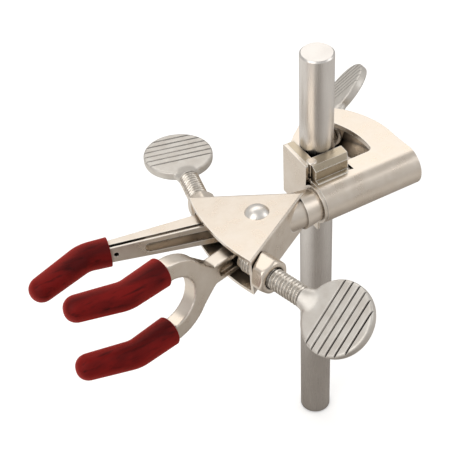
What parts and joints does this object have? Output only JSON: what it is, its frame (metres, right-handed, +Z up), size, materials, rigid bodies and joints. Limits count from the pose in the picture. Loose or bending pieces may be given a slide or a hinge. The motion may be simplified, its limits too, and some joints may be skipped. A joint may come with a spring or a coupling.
{
  "type": "retort stand clamp on rod",
  "caption": "Three-finger swivel clamp with vinyl-covered fingers and grooved thumbscrews, held by its bosshead on a plain round support rod.",
  "frame": {"origin": "centre of the support rod's lower end face", "axes": "+Z up the rod; +X along the swivel spindle from the fingers towards the holder; +Y towards the side the holder's thumbscrew comes from"},
  "size_m": [0.166, 0.1386, 0.19],
  "materials": {
    "steel_rod": "satin drawn bar",
    "nickel_plate": "warm satin nickel plate",
    "cast_head": "matte plated casting",
    "thread_steel": "bright plated steel",
    "spring_steel": "plain spring steel",
    "polished_rivet": "polished dome",
    "red_vinyl": "dipped dark red vinyl, soft sheen"
  },
  "bodies": {
    "rod": {"support_rod": "steel_rod"},
    "holder": {"holder_body": "nickel_plate", "holder_end_plate": "nickel_plate", "v_jaw": "nickel_plate", "jaw_pin": "nickel_plate", "rod_screw_nut": "nickel_plate"},
    "rod_pad": {"rod_screw_pad": "thread_steel"},
    "rod_screw": {"rod_screw_shaft": "thread_steel", "rod_screw_head": "cast_head"},
    "head": {"head_channel": "nickel_plate", "head_base_plate": "nickel_plate", "swivel_spindle": "nickel_plate", "spindle_retaining_ring": "spring_steel", "pivot_rivet": "polished_rivet", "rivet_washer": "nickel_plate", "pivot_bush": "nickel_plate", "arm_spring": "spring_steel", "near_screw_nut": "nickel_plate", "far_screw_nut": "nickel_plate"},
    "near_pad": {"near_screw_pad": "thread_steel"},
    "near_screw": {"near_screw_shaft": "thread_steel", "near_screw_head": "cast_head"},
    "far_pad": {"far_screw_pad": "thread_steel"},
    "far_screw": {"far_screw_shaft": "thread_steel", "far_screw_head": "cast_head"},
    "fork": {"fork_arm": "nickel_plate", "fork_upper_sleeve": "red_vinyl", "fork_lower_sleeve": "red_vinyl"},
    "single": {"single_arm": "nickel_plate", "single_finger": "thread_steel", "single_sleeve": "red_vinyl"}
  },
  "joints": [
    {"name": "height", "type": "slide", "parent": "rod", "child": "holder", "axis": [0, 0, 1], "range_m": [-0.12, 0.039]},
    {"name": "swivel", "type": "hinge", "parent": "holder", "child": "head", "pos_m": [-0.0349, -0.0154, 0.1354], "axis": [1, 0, 0], "continuous": true},
    {"name": "rod_pad_travel", "type": "slide", "parent": "holder", "child": "rod_pad", "axis": [0.7071, 0.7071, 0], "range_m": [0, 0.0084]},
    {"name": "rod_screw_turn", "type": "hinge", "parent": "rod_pad", "child": "rod_screw", "pos_m": [0, 0, 0.1354], "axis": [0.7071, 0.7071, 0], "range_deg": [-60, 2314.6]},
    {"name": "fork_pivot", "type": "hinge", "parent": "head", "child": "fork", "pos_m": [-0.0349, -0.0154, 0.1354], "axis": [0, -0.0767, -0.9971], "range_deg": [-10, 10]},
    {"name": "single_pivot", "type": "hinge", "parent": "head", "child": "single", "pos_m": [-0.0349, -0.0154, 0.1354], "axis": [0, 0.0767, 0.9971], "range_deg": [-10, 10]},
    {"name": "near_pad_travel", "type": "slide", "parent": "head", "child": "near_pad", "axis": [0.2164, -0.9734, 0.0749], "range_m": [-0.00243, 0.00243]},
    {"name": "near_screw_turn", "type": "hinge", "parent": "near_pad", "child": "near_screw", "pos_m": [-0.04585, -0.03469, 0.13688], "axis": [0.2164, -0.9734, 0.0749], "range_deg": [-669.6, 669.6]},
    {"name": "far_pad_travel", "type": "slide", "parent": "head", "child": "far_pad", "axis": [0.2164, 0.9734, -0.0749], "range_m": [-0.00306, 0.00306]},
    {"name": "far_screw_turn", "type": "hinge", "parent": "far_pad", "child": "far_screw", "pos_m": [-0.04585, 0.00388, 0.13392], "axis": [0.2164, 0.9734, -0.0749], "range_deg": [-843.2, 843.2]}
  ],
  "couplings": [
    {"joint": "rod_screw_turn", "follows": "rod_pad_travel", "rad_per_m": 4453},
    {"joint": "near_screw_turn", "follows": "near_pad_travel", "rad_per_m": 4453},
    {"joint": "fork_pivot", "follows": "near_pad_travel", "rad_per_m": -64.642},
    {"joint": "far_screw_turn", "follows": "far_pad_travel", "rad_per_m": 4453},
    {"joint": "single_pivot", "follows": "far_pad_travel", "rad_per_m": -51.333}
  ]
}
